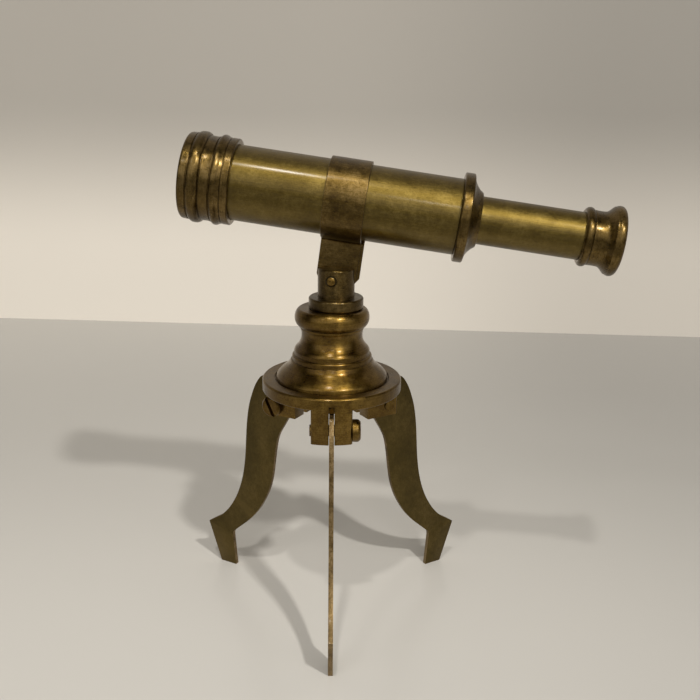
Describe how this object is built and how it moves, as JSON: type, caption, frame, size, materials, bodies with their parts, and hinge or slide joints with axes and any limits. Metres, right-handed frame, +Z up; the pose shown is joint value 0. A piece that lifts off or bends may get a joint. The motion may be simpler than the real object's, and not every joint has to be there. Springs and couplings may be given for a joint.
{
  "type": "telescope on tripod",
  "caption": "Small brass spyglass in a strap clamp on a tilting, turning stem, over a turned head with folding flat legs.",
  "frame": {"origin": "middle of the part's footprint on the table: centre of the bounding box in X and Y, and the soles of the feet in Z", "axes": "+X towards the eyepiece end, -Y towards the front leg, +Z up"},
  "size_m": [0.1114, 0.0642, 0.1292],
  "materials": {
    "turned_brass": "polished, antiqued",
    "tube_brass": "brushed, antiqued",
    "ring_brass": "polished, reddish antiqued",
    "strap_brass": "satin, antiqued",
    "leg_brass": "satin, dark antiqued",
    "screw_brass": "dull",
    "lens_glass": "polished"
  },
  "bodies": {
    "stand": {"head": "turned_brass", "leg_screw_front": "screw_brass", "leg_screw_right": "screw_brass", "leg_screw_left": "screw_brass"},
    "swivel": {"stem": "ring_brass", "stem_washer": "screw_brass", "stem_screw": "screw_brass", "pivot_rivet": "screw_brass"},
    "telescope": {"clamp_strap": "strap_brass", "main_tube": "tube_brass", "objective_cell": "ring_brass", "objective_lens": "lens_glass", "objective_retainer": "screw_brass", "end_ring": "ring_brass"},
    "draw": {"draw_tube": "tube_brass", "draw_stop": "screw_brass", "eyepiece": "ring_brass", "eye_lens": "lens_glass", "eye_retainer": "screw_brass"},
    "leg_front": {"leg_front": "leg_brass"},
    "leg_right": {"leg_right": "leg_brass"},
    "leg_left": {"leg_left": "leg_brass"}
  },
  "joints": [
    {"name": "stem_swivel", "type": "hinge", "parent": "stand", "child": "swivel", "pos_m": [-0.01605, 0.01036, 0.085], "axis": [0, 0, 1], "continuous": true},
    {"name": "tube_tilt", "type": "hinge", "parent": "swivel", "child": "telescope", "pos_m": [-0.01684, 0.01045, 0.0927], "axis": [0.1045, 0.9945, 0], "range_deg": [-40, 30]},
    {"name": "draw_slide", "type": "slide", "parent": "telescope", "child": "draw", "axis": [0.986, -0.1036, -0.1305], "range_m": [-0.0254, 0.0092]},
    {"name": "leg_front_fold", "type": "hinge", "parent": "stand", "child": "leg_front", "pos_m": [-0.01705, -0.00483, 0.0563], "axis": [1, 0, 0], "range_deg": [0, 28]},
    {"name": "leg_right_fold", "type": "hinge", "parent": "stand", "child": "leg_right", "pos_m": [-0.00388, 0.01796, 0.0563], "axis": [-0.5, 0.866, 0], "range_deg": [0, 28]},
    {"name": "leg_left_fold", "type": "hinge", "parent": "stand", "child": "leg_left", "pos_m": [-0.03021, 0.01796, 0.0563], "axis": [-0.5, -0.866, 0], "range_deg": [0, 28]}
  ]
}
